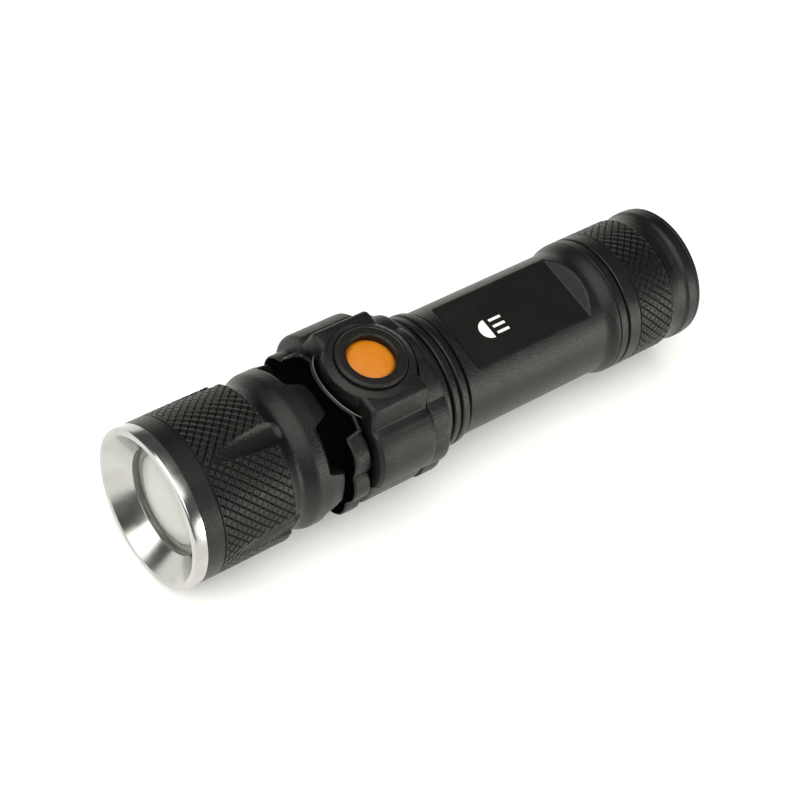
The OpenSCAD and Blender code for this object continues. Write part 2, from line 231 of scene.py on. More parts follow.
def around_button(name, corners, sharp=35):
    """A body of revolution about the button's axis, from an outline of (height, radius, fillet)."""
    columns, on_axis = 160, 1e-6
    outline = fillet(corners)
    angle = np.arange(columns) * 2 * math.pi / columns
    points, faces, row_of = [], [], []
    for h, r in outline:
        row_of.append(len(points))
        if r < on_axis:
            points.append((0, FRONT_Y + BUTTON_S * MM, AXIS_Z + h * MM))
            continue
        for a in angle:
            y = FRONT_Y + (BUTTON_S + r * math.cos(a)) * MM
            points.append((r * math.sin(a) * MM, y, AXIS_Z + h * MM))
    n = len(outline)
    for i in range(n):
        k = (i + 1) % n
        pole_i, pole_k = outline[i][1] < on_axis, outline[k][1] < on_axis
        if pole_i and pole_k:
            continue
        for j in range(columns):
            m = (j + 1) % columns
            if pole_i:
                faces.append([row_of[i], row_of[k] + m, row_of[k] + j])
            elif pole_k:
                faces.append([row_of[i] + j, row_of[i] + m, row_of[k]])
            else:
                faces.append([row_of[i] + j, row_of[i] + m, row_of[k] + m, row_of[k] + j])
    return mesh_piece(name, np.array(points), faces, sharp)


def capped(name, outline, columns, sharp):
    """A body of revolution whose open outline (station, radius) starts and ends on the axis."""
    angle = np.arange(columns) * 2 * math.pi / columns
    inner = outline[1:-1]
    points = [place((r + 0 * angle, angle, s + 0 * angle)) for s, r in inner]
    faces = swept_faces(len(inner), columns, False)
    points = np.concatenate(points)
    poles = place((np.zeros(2), np.zeros(2), np.array([outline[0][0], outline[-1][0]])))
    first, last = len(points), len(points) + 1
    end = (len(inner) - 1) * columns
    for j in range(columns):
        k = (j + 1) % columns
        faces.append([first, k, j])
        faces.append([end + j, end + k, last])
    return mesh_piece(name, np.concatenate([points, poles]), faces, sharp)


def tube_along(name, path, radius, sides):
    """A round bar along points in metres in the row frame; radius in metres, or one each."""
    points = np.array(path, float)
    count = len(points)
    radii = np.broadcast_to(np.asarray(radius, float), (count,))
    ahead = np.concatenate([points[1:], points[-1:]])
    behind = np.concatenate([points[:1], points[:-1]])
    along = ahead - behind
    along /= np.linalg.norm(along, axis=1)[:, None]
    any_side = [0.31, 0.17, 0.93]
    side = np.cross(along[0], any_side)
    verts = []
    for k in range(count):
        side = side - along[k] * side.dot(along[k])
        side /= np.linalg.norm(side)
        other = np.cross(along[k], side)
        for i in range(sides):
            a = 2 * math.pi * i / sides
            verts.append(points[k] + radii[k] * (math.cos(a) * side + math.sin(a) * other))
    faces = swept_faces(count, sides, False)
    faces.append(list(range(sides))[::-1])
    faces.append([(count - 1) * sides + i for i in range(sides)])
    mesh = bpy.data.meshes.new(name)
    mesh.from_pydata([tuple(v) for v in verts], [], faces)
    shade(mesh, 50)
    face_outwards(mesh)
    return add_object(name, mesh)


def combine(piece, other, operation):
    """Joins or cuts piece by other, then removes other."""
    boolean = piece.modifiers.new("boolean", "BOOLEAN")
    boolean.operation = operation
    boolean.object = other
    boolean.solver = "MANIFOLD"
    apply_modifiers(piece)
    bpy.data.objects.remove(other)


def apply_modifiers(piece):
    graph = bpy.context.evaluated_depsgraph_get()
    mesh = bpy.data.meshes.new_from_object(piece.evaluated_get(graph))
    piece.modifiers.clear()
    piece.data = mesh


def block(name, low, high):
    """A box between two corners of (x, station, height above the axis)."""
    mesh = bpy.data.meshes.new(name)
    shape = bmesh.new()
    bmesh.ops.create_cube(shape, size=1)
    lo, hi = Vector(low), Vector(high)
    for v in shape.verts:
        p = Vector([lo[i] + (v.co[i] + 0.5) * (hi[i] - lo[i]) for i in range(3)])
        v.co = Vector((p.x * MM, FRONT_Y + p.y * MM, AXIS_Z + p.z * MM))
    bmesh.ops.recalc_face_normals(shape, faces=shape.faces)
    shape.to_mesh(mesh)
    shape.free()
    return add_object(name, mesh)


def smooth_min(a, b, k):
    """The smaller of two heights, with the crease between them rounded over k."""
    h = np.clip(0.5 + 0.5 * (b - a) / k, 0, 1)
    return b * (1 - h) + a * h - k * h * (1 - h)


def smoothstep(x):
    """0 up to 0 and 1 from 1, with a smooth rise between."""
    x = np.clip(x, 0, 1)
    return x * x * (3 - 2 * x)


def off_centre(angle, count, phase):
    """Signed angle from the nearest of count directions, in radians."""
    step = 2 * math.pi / count
    return (angle - math.radians(phase) + step / 2) % step - step / 2


def from_top(angle):
    """Signed angle from the button's side, within half a turn."""
    return (angle + math.pi) % (2 * math.pi) - math.pi


def turned_line(s, radius, half, floor_half, depth):
    """Rows across a fine groove turned round a band; its floor is narrower than its mouth."""
    return [
        (s - half, radius), (s - floor_half, radius - depth),
        (s + floor_half, radius - depth), (s + half, radius),
    ]


# ---------- Knurl ----------


class Knurl:
    """Two families of grooves at 45 degrees, on a grid whose diagonals lie along the grooves."""

    per = 12  # columns in one period of the pattern

    def __init__(self, radius, start, end):
        self.radius = radius
        self.start = start
        self.columns = round(2 * math.pi * radius / KNURL_PERIOD) * self.per
        self.step = 2 * math.pi * radius / self.columns
        self.rows = int((end - start) / self.step)
        self.angle = np.arange(self.columns) * 2 * math.pi / self.columns

    def groove(self, i):
        """Share of the depth along row i, from 0 on a pad to 1 at a groove's floor."""
        j = np.arange(self.columns)
        near = []
        for position in (i + j, j - i):
            off = np.abs((position + self.per / 2) % self.per - self.per / 2)
            near.append(np.clip(1 - off / 2, 0, 1))
        return np.maximum(near[0], near[1])

    def carved(self, depth, run_in):
        """Rows (station, radius) along the knurl; the grooves reach their depth over a run-in."""
        rows = []
        for i in range(self.rows + 1):
            s = self.start + i * self.step
            fade = smoothstep((s - self.start) / run_in)
            rows.append((s, self.radius - depth * self.groove(i) * fade))
        return rows

    def split_from(self, first):
        """How a sweep splits its quads when the knurl's rows start at its row first."""

        def split(i, j):
            """Whether a quad's diagonal rises, so that it follows the nearer groove."""
            i -= first
            if not 0 <= i < self.rows:
                return None
            rising = abs((i + j + 1 + self.per / 2) % self.per - self.per / 2)
            falling = abs((j - i + self.per / 2) % self.per - self.per / 2)
            return falling <= rising

        return split


# ---------- Materials ----------


def new_material(name):
    material = bpy.data.materials.new(name)
    material.use_nodes = True
    nodes, links = material.node_tree.nodes, material.node_tree.links
    return material, nodes, links, nodes["Principled BSDF"]


def noise(nodes, links, scale, detail, stretch=(1, 1, 1)):
    """Noise in object space; scale is in features per metre."""
    where = nodes.new("ShaderNodeTexCoord")
    mapping = nodes.new("ShaderNodeMapping")
    mapping.inputs["Scale"].default_value = stretch
    texture = nodes.new("ShaderNodeTexNoise")
    texture.inputs["Scale"].default_value = scale
    texture.inputs["Detail"].default_value = detail
    links.new(where.outputs["Object"], mapping.inputs["Vector"])
    links.new(mapping.outputs["Vector"], texture.inputs["Vector"])
    return texture.outputs["Fac"]


def span(nodes, links, value, low, high, from_low=0.3, from_high=0.7):
    """Maps a value from one range to another."""
    node = nodes.new("ShaderNodeMapRange")
    node.inputs["From Min"].default_value = from_low
    node.inputs["From Max"].default_value = from_high
    node.inputs["To Min"].default_value = low
    node.inputs["To Max"].default_value = high
    links.new(value, node.inputs["Value"])
    return node.outputs["Result"]


def bump(nodes, links, shader, height, distance):
    node = nodes.new("ShaderNodeBump")
    node.inputs["Distance"].default_value = distance
    node.inputs["Strength"].default_value = 1.0
    links.new(height, node.inputs["Height"])
    links.new(node.outputs["Normal"], shader.inputs["Normal"])


def blend_colours(nodes, links, factor, first, second):
    node = nodes.new("ShaderNodeMix")
    node.data_type = "RGBA"
    node.inputs["A"].default_value = (*first, 1)
    node.inputs["B"].default_value = (*second, 1)
    links.new(factor, node.inputs["Factor"])
    return node.outputs["Result"]


def speckled(name, dark, light, rough, grain, grain_depth, metallic=0.0, specular=0.5):
    """A moulded or anodised surface: fine grain, uneven gloss and a slight drift in colour.

    rough is a range, grain is in features per metre, and its depth is in metres.
    """
    material, nodes, links, shader = new_material(name)
    drift = noise(nodes, links, 140, 4)
    fine = noise(nodes, links, grain, 4)
    shader.inputs["Metallic"].default_value = metallic
    shader.inputs["Specular IOR Level"].default_value = specular
    colour = blend_colours(nodes, links, span(nodes, links, drift, 0, 1), dark, light)
    links.new(colour, shader.inputs["Base Color"])
    links.new(span(nodes, links, fine, rough[0], rough[1]), shader.inputs["Roughness"])
    bump(nodes, links, shader, fine, grain_depth)
    return material


def turned(name, dark, light, rough, line_width, line_depth):
    """Lathe-turned metal: fine rings about the torch's axis."""
    material, nodes, links, shader = new_material(name)
    where = nodes.new("ShaderNodeTexCoord")
    centre = nodes.new("ShaderNodeMapping")
    centre.inputs["Location"].default_value = (0, 0, -AXIS_Z)
    wave = nodes.new("ShaderNodeTexWave")
    wave.wave_type = "RINGS"
    wave.rings_direction = "Y"
    wave.inputs["Scale"].default_value = 2 * math.pi / (20 * line_width * MM)
    wave.inputs["Distortion"].default_value = 1.5
    wave.inputs["Detail"].default_value = 2
    links.new(where.outputs["Object"], centre.inputs["Vector"])
    links.new(centre.outputs["Vector"], wave.inputs["Vector"])
    drift = noise(nodes, links, 260, 3, (1, 0.2, 1))
    shader.inputs["Metallic"].default_value = 1.0
    colour = blend_colours(nodes, links, span(nodes, links, drift, 0, 1), dark, light)
    links.new(colour, shader.inputs["Base Color"])
    links.new(span(nodes, links, drift, rough[0], rough[1]), shader.inputs["Roughness"])
    bump(nodes, links, shader, wave.outputs["Fac"], line_depth)
    return material


def radial_mask(nodes, links, inner, outer):
    """0 inside a radius about the torch's axis and 1 outside, in millimetres."""
    where = nodes.new("ShaderNodeTexCoord")
    centre = nodes.new("ShaderNodeMapping")
    centre.inputs["Location"].default_value = (0, 0, -AXIS_Z)
    centre.inputs["Scale"].default_value = (1, 0, 1)
    length = nodes.new("ShaderNodeVectorMath")
    length.operation = "LENGTH"
    links.new(where.outputs["Object"], centre.inputs["Vector"])
    links.new(centre.outputs["Vector"], length.inputs[0])
    return span(nodes, links, length.outputs["Value"], 0, 1, inner * MM, outer * MM)


def lens_material():
    """Clear moulded plastic, hazy in its bowl, with painted shade darkening its mounting rim."""
    material, nodes, links, shader = new_material("lens_clear")
    # Painted shade: the rim outside the bowl is darker, where the bezel shades it.
    rim = radial_mask(nodes, links, 8.8, 9.3)
    haze = noise(nodes, links, 90, 2)
    colour = blend_colours(nodes, links, rim, (0.58, 0.59, 0.56), (0.34, 0.345, 0.31))
    links.new(colour, shader.inputs["Base Color"])
    links.new(span(nodes, links, haze, 0.1, 0.2), shader.inputs["Roughness"])
    shader.inputs["IOR"].default_value = 1.49
    shader.inputs["Transmission Weight"].default_value = 0.45
    return material


def translucent(name, colour, rough, depth):
    """Dyed translucent plastic."""
    material, nodes, links, shader = new_material(name)
    drift = noise(nodes, links, 500, 3)
    darker = tuple(c * 0.86 for c in colour)
    mixed = blend_colours(nodes, links, span(nodes, links, drift, 0, 1), darker, colour)
    links.new(mixed, shader.inputs["Base Color"])
    links.new(span(nodes, links, drift, rough, rough + 0.08), shader.inputs["Roughness"])
    shader.inputs["Subsurface Weight"].default_value = 0.35
    shader.inputs["Subsurface Scale"].default_value = depth
    shader.inputs["Subsurface Radius"].default_value = (1.0, 0.35, 0.08)
    bump(nodes, links, shader, drift, 0.000004)
    return material


def make_materials():
    """One material for each slot, and a few for details, a painted highlight, and painted shade on
    shadowed faces.
    """
    return {
        "black_anodised": speckled(
            "black_anodise", (0.0022, 0.0021, 0.0019), (0.0045, 0.0043, 0.0038), (0.26, 0.48),
            3400, 0.0001, specular=0.24,
        ),
        "bright_aluminium": turned(
            "turned_aluminium", (0.36, 0.36, 0.35), (0.43, 0.43, 0.42), (0.16, 0.24), 0.16,
            0.0000015,
        ),
        "lens_glass": lens_material(),
        "seal_rubber": speckled(
            "seal_rubber", (0.005, 0.005, 0.005), (0.01, 0.01, 0.01), (0.6, 0.75), 2600, 0.00001
        ),
        "collar_black": speckled(
            "soft_touch", (0.0026, 0.0025, 0.0022), (0.0052, 0.005, 0.0044), (0.28, 0.5), 3200,
            0.00012, specular=0.24,
        ),
        "button_orange": translucent("orange_plastic", (0.5, 0.16, 0.002), 0.42, 0.0006),
        "spring_steel": speckled(
            "bright_steel", (0.5, 0.5, 0.5), (0.66, 0.66, 0.66), (0.22, 0.34), 3000, 0.000003, 1.0
        ),
        "pill_brass": turned(
            "turned_brass", (0.66, 0.48, 0.2), (0.8, 0.62, 0.3), (0.24, 0.34), 0.2, 0.000002
        ),
        "board_white": speckled(
            "white_mask", (0.72, 0.72, 0.69), (0.84, 0.84, 0.82), (0.3, 0.4), 2400, 0.000004
        ),
        "led_phosphor": speckled(
            "phosphor", (0.78, 0.6, 0.1), (0.88, 0.74, 0.18), (0.55, 0.7), 6000, 0.000008
        ),
        "led_silicone": translucent("clear_silicone", (0.9, 0.88, 0.74), 0.1, 0.001),
        "lead_insulation": speckled(
            "red_insulation", (0.42, 0.015, 0.012), (0.55, 0.03, 0.02), (0.4, 0.5), 3000, 0.000005
        ),
        "board_green": speckled(
            "green_mask", (0.006, 0.09, 0.025), (0.012, 0.14, 0.04), (0.28, 0.4), 2000, 0.000006
        ),
        "chip_black": speckled(
            "epoxy", (0.012, 0.012, 0.012), (0.024, 0.024, 0.024), (0.45, 0.6), 4000, 0.000008
        ),
        "spring_gold": speckled(
            "gold_plate", (0.7, 0.46, 0.14), (0.85, 0.62, 0.24), (0.2, 0.32), 3000, 0.000003, 1.0
        ),
        "flex_film": translucent("amber_film", (0.6, 0.26, 0.04), 0.3, 0.0004),
        "cell_wrap": speckled(
            "cell_wrap", (0.02, 0.09, 0.34), (0.03, 0.13, 0.44), (0.22, 0.34), 900, 0.000012
        ),
        # Painted shade: near-black and matt, put on faces in hollows to deepen their shadow.
        "painted_shade_black": speckled(
            "painted_shade_black", (0.0006, 0.0006, 0.0006), (0.001, 0.001, 0.001), (0.9, 0.98), 3000,
            0.00001, specular=0.01,
        ),
        # Painted highlight: light grey for the collar's lip, where its edge catches light.
        "painted_highlight_edge": speckled(
            "painted_highlight_edge", (0.07, 0.07, 0.066), (0.13, 0.13, 0.125), (0.3, 0.4), 3000, 0.00001
        ),
        "print_white": speckled(
            "white_print", (0.66, 0.66, 0.65), (0.8, 0.8, 0.79), (0.5, 0.62), 6000, 0.000006
        ),
    }


MATERIALS = make_materials()
SLOT_OF = {row["node"]: row["material_slot"] for row in frame["record"]["subparts"]}
BODY_OF = {
    node: body for body, nodes in frame["record"]["behaviour"]["bodies"].items() for node in nodes
}


def paint(piece, look):
    piece.data.materials.clear()
    piece.data.materials.append(MATERIALS[look])


def stand_for(piece, node):
    """piece takes the place of a CAD node, on its body and with its material slot."""
    paint(piece, SLOT_OF[node])
    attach(piece, BODY_OF[node])
    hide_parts(node)


def add_to(piece, node, look):
    """piece is a detail on a CAD node's body."""
    paint(piece, look)
    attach(piece, BODY_OF[node])


def paint_hollow_shade(piece, station_end, radius):
    """Makes the faces in front of a station and inside a radius matt and nearly black.

    It deepens the shadow in a hollow, as the photo shows it, and isn't a real finish.
    """
    piece.data.materials.append(MATERIALS["painted_shade_black"])
    for face in piece.data.polygons:
        centre = face.center
        out = math.hypot(centre.x, centre.z - AXIS_Z) / MM
        if (centre.y - FRONT_Y) / MM < station_end and out < radius:
            face.material_index = 1


# ---------- Head ----------


def make_bezel():
    """A bright band with a cone down to the lens, and a thread into the sleeve."""
    thread_r, rear = 15.1, 8.0
    seat_r, seat = 12.2, LENS_FRONT + 2.55
    cone_end = 3.9
    piece = revolved("bezel", [
        (0.0, HEAD_R - 1.4, 0.1), (0.0, HEAD_R - 0.25, 0.25), (0.35, HEAD_R, 0.3),
        (BEZEL_BAND, HEAD_R, 0.08), (BEZEL_BAND, thread_r, 0.05), (rear, thread_r, 0.1),
        (rear, seat_r, 0.1), (seat, seat_r), (seat, THROAT_R, 0.1), (cone_end, THROAT_R, 0.1),
    ])
    stand_for(piece, "bezel_ring")


def make_lens():
    """A dome, part of a sphere, on a flat flange."""
    rim_r, flange_r = 9.8, 12.1
    rise, steps = 2.6, 26
    seat = LENS_FRONT + rise + 0.05
    sphere_r = (rim_r * rim_r + rise * rise) / (2 * rise)
    half = math.asin(rim_r / sphere_r)
    outline = []
    for k in range(steps + 1):
        a = half * k / steps
        outline.append((LENS_FRONT + sphere_r * (1 - math.cos(a)), sphere_r * math.sin(a)))
    outline += [(seat, rim_r + 0.15), (seat, flange_r), (LENS_BACK, flange_r), (LENS_BACK, 0.0)]
    piece = capped("lens_dome", outline, columns=160, sharp=50)
    stand_for(piece, "lens")


def sleeve_radius(s):
    """Outer radius of the sleeve at a station, without its knurl and flutes."""
    neck_s, neck_r = 25.2, 15.0
    crown_front, crown_rear = 28.6, 31.2
    step, taper = 0.35, 0.65
    into_neck = smoothstep((s - KNURL_END) / (neck_s - KNURL_END))
    out_of_neck = smoothstep((s - neck_s) / (crown_front - neck_s))
    sunk = np.where(s > KNURL_END, step + (1 - step) * into_neck, 0)
    radius = HEAD_R - (HEAD_R - neck_r) * sunk
    radius = np.where(s > neck_s, neck_r + (CROWN_R - neck_r) * out_of_neck, radius)
    return radius - taper * np.clip((s - crown_rear) / (HEAD_END - crown_rear), 0, 1) ** 1.5


def flute_radius(s, angle):
    """Radius of the ball-nosed flutes' floors, large where there is none."""
    cutter, depth, deepest = 3.0, 1.75, 1.2
    tip, full = 9.2, 22.6
    lift, lift_start, lift_length = 2.2, 23.6, 3.4
    no_flute = HEAD_R + 5
    off = off_centre(angle, PETALS, PETAL_PHASE)
    sink = depth * np.clip((s - tip) / (full - tip), 0, deepest)
    centre = HEAD_R + cutter - sink + lift * smoothstep((s - lift_start) / lift_length)
    across = centre * np.sin(off)
    inside = np.maximum(cutter**2 - across**2, 0)
    floor = centre * np.cos(off) - np.sqrt(inside)
    return np.where(np.abs(across) < cutter, floor, no_flute)


def crown_end(angle):
    """Station where the crown ends: the rear edge on its teeth, further forward between them."""
    notch_turn, half_width, corner = 40, 16, 8
    off = np.degrees(np.abs(off_centre(angle, PETALS, notch_turn)))
    tooth = smoothstep((off - half_width) / corner)
    return NOTCH_FRONT + (HEAD_END - NOTCH_FRONT) * tooth


def make_sleeve():
    """Front band with a turned line, knurl and flutes, neck, notched crown, then the bore."""
    knurl = Knurl(HEAD_R, KNURL_START, KNURL_END - 0.15)
    angle = knurl.angle
    thread_r, thread_end = HEAD_R - 1.35, 8.1
    shoulder, stop, stop_r = 9.1, 23.4, 14.15
    crown_start, edge_r = 27.0, 1.0
    knurl_blend, neck_blend = 0.08, 0.12
    rows = [(BEZEL_BAND, thread_r), (BEZEL_BAND, HEAD_R - 0.12)]
    rows += [(BEZEL_BAND + 0.12, HEAD_R), (BEZEL_BAND + 2.0, HEAD_R)]
    rows += turned_line(6.5, HEAD_R, 0.22, 0.1, 0.22)
    split = knurl.split_from(len(rows))
    for s, carved in knurl.carved(KNURL_DEPTH, 0.25):
        rows.append((s, smooth_min(carved, flute_radius(s, angle), knurl_blend)))
    for s in np.linspace(KNURL_END, crown_start, 16):
        rows.append((s, smooth_min(sleeve_radius(s), flute_radius(s, angle), neck_blend)))
    ends = crown_end(angle)
    for share in np.concatenate([np.linspace(0, 0.84, 17)[1:], np.linspace(0.87, 1, 7)]):
        s = crown_start + (ends - crown_start) * share
        over = np.clip((s - ends + edge_r) / edge_r, 0, 1)
        rows.append((s, sleeve_radius(s) - edge_r * (1 - np.sqrt(1 - over**2))))
    rows += [(ends, BORE_R), (stop, BORE_R), (stop, stop_r), (shoulder, stop_r)]
    rows += [(shoulder, THROAT_R), (thread_end, THROAT_R), (thread_end, thread_r)]
    piece = swept("knurled_sleeve", rows, knurl.columns, sharp=28, knurl=split)
    stand_for(piece, "head_sleeve")


# ---------- Collar ----------


def polar(corners, angle):
    """Radius at each angle of a closed outline (x, height, fillet) round the axis."""
    outline = np.array(fillet(corners, 5))
    around = np.arctan2(outline[:, 0], outline[:, 1])
    order = np.argsort(around)
    around, outline = around[order], outline[order]
    start = np.concatenate([around[-1:] - 2 * math.pi, around, around[:1] + 2 * math.pi])
    points = np.concatenate([outline[-1:], outline, outline[:1]])
    wanted = from_top(angle)
    at = np.clip(np.searchsorted(start, wanted, side="right") - 1, 0, len(start) - 2)
    a, b = points[at], points[at + 1]
    ray = np.stack([np.sin(wanted), np.cos(wanted)], axis=-1)
    edge = b - a
    cross = edge[:, 0] * ray[:, 1] - edge[:, 1] * ray[:, 0]
    parallel = 1e-9
    cross = np.where(np.abs(cross) < parallel, parallel, cross)
    return (a[:, 1] * edge[:, 0] - a[:, 0] * edge[:, 1]) / cross


def pad_corners():
    """Outline of the pads: plate, crease, side pad, band and base, and the same mirrored."""
    side_r, side_out, side_turn = 10.5, 8.7, math.radians(61)
    side_end, band_r, base_half = 84, 16.6, 8.5
    half = [(10.4, PLATE_H, 1.5), (11.75, 13.55, 0.7), (13.3, 13.1, 0.8)]
    for degrees in [*range(50, side_end, 2), side_end]:
        a = math.radians(degrees)
        off = side_out * math.sin(a - side_turn)
        r = side_out * math.cos(a - side_turn) + math.sqrt(side_r**2 - off**2)
        half.append((r * math.sin(a), r * math.cos(a), 0.6 if degrees == side_end else 0))
    for degrees in range(90, 146, 8):
        a = math.radians(degrees)
        half.append((band_r * math.sin(a), band_r * math.cos(a)))
    half += [(base_half, -AXIS_Z / MM, 0.8)]
    return half + [(-c[0], *c[1:]) for c in half[::-1]]


def flange_radius(angle, crest, depth):
    """Wavy outline of a flange, with round crests and narrower valleys."""
    lobes, phase = 12, -4
    off = off_centre(angle, lobes, phase)
    return crest - depth * (off / (math.pi / lobes)) ** 2


def across_top(angle, fade):
    """1 across the top of the collar and 0 elsewhere, fading out over some degrees."""
    return smoothstep((math.radians(39) - np.abs(from_top(angle))) / math.radians(fade))


def lip_front(angle, reach):
    """Front of the front flange: straight, but following the boss's gap across the top."""
    straight, least_wall, rim_r = COLLAR_FRONT + 0.02, 1.7, 16
    x = rim_r * np.sin(from_top(angle))
    round_boss = BUTTON_S - np.sqrt(np.maximum(reach**2 - x**2, 1))
    round_boss = np.clip(round_boss, straight, PAD_FRONT - least_wall)
    return straight + (round_boss - straight) * across_top(angle, 3)


def ridge(start, end, top, front_round, rear_round):
    """Rows over a ridge between two stations, both edges rounded, from and to the groove."""
    quarter = [math.pi / 2 * k / 4 for k in range(5)]
    rows = [(start, GROOVE_R)]
    for a in quarter:
        back, down = front_round * (1 - math.cos(a)), front_round * (1 - math.sin(a))
        rows.append((start + back, top - down))
    for t in (0.25, 0.5, 0.75):
        rows.append((start + front_round + (end - rear_round - start - front_round) * t, top))
    for a in quarter:
        ahead, down = rear_round * (1 - math.sin(a)), rear_round * (1 - math.cos(a))
        rows.append((end - ahead, top - down))
    return rows + [(end, GROOVE_R)]


def make_collar():
    """Front flange, pads and rear flange swept round the axis, then the boss and its gap."""
    columns = 720
    angle = np.arange(columns) * 2 * math.pi / columns
    bore, mouth, gap = 13.42, 13.9, 0.9
    front = flange_radius(angle, 16.95, 1.25)
    front = front + (LIP_R - front) * across_top(angle, 4)
    rear = flange_radius(angle, 16.9, 0.7)
    wall_front = lip_front(angle, BOSS_R + 1.75)
    rows = [(COLLAR_FRONT, bore), (COLLAR_FRONT, mouth), (wall_front, mouth)]
    rows += ridge(wall_front, PAD_FRONT - gap, front, 0.35, 0.2)[1:]
    rows += ridge(PAD_FRONT, PAD_REAR, polar(pad_corners(), angle), 1.0, 0.9)
    rows += ridge(PAD_REAR + gap, COLLAR_REAR, rear, 0.35, 1.3)[:-1]
    rows += [(COLLAR_REAR, bore)]
    collar = swept("collar_body", rows, columns, sharp=32)
    cut_gaps(collar)
    raise_boss(collar)
    shade(collar.data, 30)
    stand_for(collar, "switch_collar")
    # Painted shade on the collar's hollow in front of the pads.
    paint_hollow_shade(collar, PAD_FRONT + 0.1, 15.6)
    make_collar_lip()


def cut_gaps(collar):
    """Opens the front and rear flanges round the boss, down to the groove's floor."""
    above, steps = 25, 40
    for side in (-1, 1):
        near = (PAD_FRONT if side < 0 else PAD_REAR) - BUTTON_S
        turn = math.atan2(math.sqrt(CLEARANCE**2 - near**2), abs(near))
        segment = []
        for k in range(steps + 1):
            a = -turn + 2 * turn * k / steps
            segment.append((CLEARANCE * math.sin(a), BUTTON_S + side * CLEARANCE * math.cos(a)))
        combine(collar, prism("cutter", segment, GROOVE_R, above), "DIFFERENCE")


def raise_boss(collar):
    """The round boss under the trim ring, and the well for the button."""
    root, side_top, chamfer_top = 12.2, 18.15, 18.45
    rim_top, rim_r = 19.05, 8.0
    boss = around_button("boss", [
        (root, 0), (root, BOSS_R), (side_top, BOSS_R, 0.4), (chamfer_top, BOSS_R - 0.35, 0.3),
        (rim_top - 0.25, rim_r + 0.25, 0.2), (rim_top, rim_r - 0.1, 0.15),
        (rim_top, TRIM_R + 0.22, 0.1), (TRIM_SEAT, TRIM_R + 0.18), (TRIM_SEAT, 0),
    ])
    combine(collar, boss, "UNION")
    well_floor, well_top, well_r = 11.4, 18.6, 6.2
    well = around_button("well", [
        (well_floor, 0), (well_floor, well_r), (well_top, well_r), (well_top, 0),
    ])
    combine(collar, well, "DIFFERENCE")


def prism(name, outline, low, high):
    """An upright prism from (x, station) points between two heights above the axis."""
    n = len(outline)
    points = [(x * MM, FRONT_Y + s * MM, AXIS_Z + h * MM) for h in (low, high) for x, s in outline]
    faces = [list(range(n))[::-1], [n + i for i in range(n)]]
    faces += [[i, (i + 1) % n, n + (i + 1) % n, n + i] for i in range(n)]
    mesh = bpy.data.meshes.new(name)
    mesh.from_pydata(points, [], faces)
    face_outwards(mesh)
    return add_object(name, mesh)


def make_collar_lip():
    """Moulded lip along the gap in front of the boss, ending in a small bead; its light grey is a
    painted highlight.
    """
    first, sweep, steps = -52, 106, 60
    wire_r, bead_r, bead_steps = 0.11, 0.16, 3
    reach, seat_r = CLEARANCE + 0.12, LIP_R - 0.02
    path, radii = [], []
    for k in range(steps + 1):
        turn = math.radians(first + sweep * k / steps)
        x = reach * math.sin(turn)
        s = BUTTON_S - reach * math.cos(turn)
        h = math.sqrt(seat_r**2 - x * x)
        path.append((x * MM, FRONT_Y + s * MM, AXIS_Z + h * MM))
        near_end = max(0, 1 - (steps - k) / bead_steps)
        radii.append((wire_r + bead_r * near_end) * MM)
    # The lip's light grey is a painted highlight along its edge.
    add_to(tube_along("collar_lip", path, radii, 10), "switch_collar", "painted_highlight_edge")


def make_trim():
    """A plain ring with rounded edges, round the button."""
    top = TRIM_TOP
    piece = around_button("trim", [
        (TRIM_SEAT, OPENING_R), (TRIM_SEAT, TRIM_R), (top - 0.45, TRIM_R, 0.3),
        (top, TRIM_R - 0.5, 0.3), (top, OPENING_R + 0.3, 0.15), (top - 0.3, OPENING_R, 0.15),
    ])
    stand_for(piece, "trim_ring")


def make_button():
    """A domed cap with a flange that keeps it in and a post down to the switch."""
    face, dome, dome_steps = BUTTON_FACE, 0.35, 9
    face_r, flange_r, post_r = OPENING_R - 0.1, 6.0, 2.2
    flange_low, flange_top = 17.0, 17.9
    outline = [(BUTTON_FOOT, 0), (BUTTON_FOOT, post_r, 0.2), (flange_low, post_r)]
    outline += [(flange_low, flange_r), (flange_top, flange_r), (flange_top, face_r)]
    outline += [(face - dome - 0.35, face_r, 0.3)]
    for k in range(1, dome_steps):
        r = face_r * (1 - k / dome_steps)
        outline.append((face - dome * (r / face_r) ** 2, r))
    outline.append((face, 0))
    piece = around_button("button", outline, sharp=40)
    stand_for(piece, "button_cap")


# ---------- Barrel, tube and tail ----------


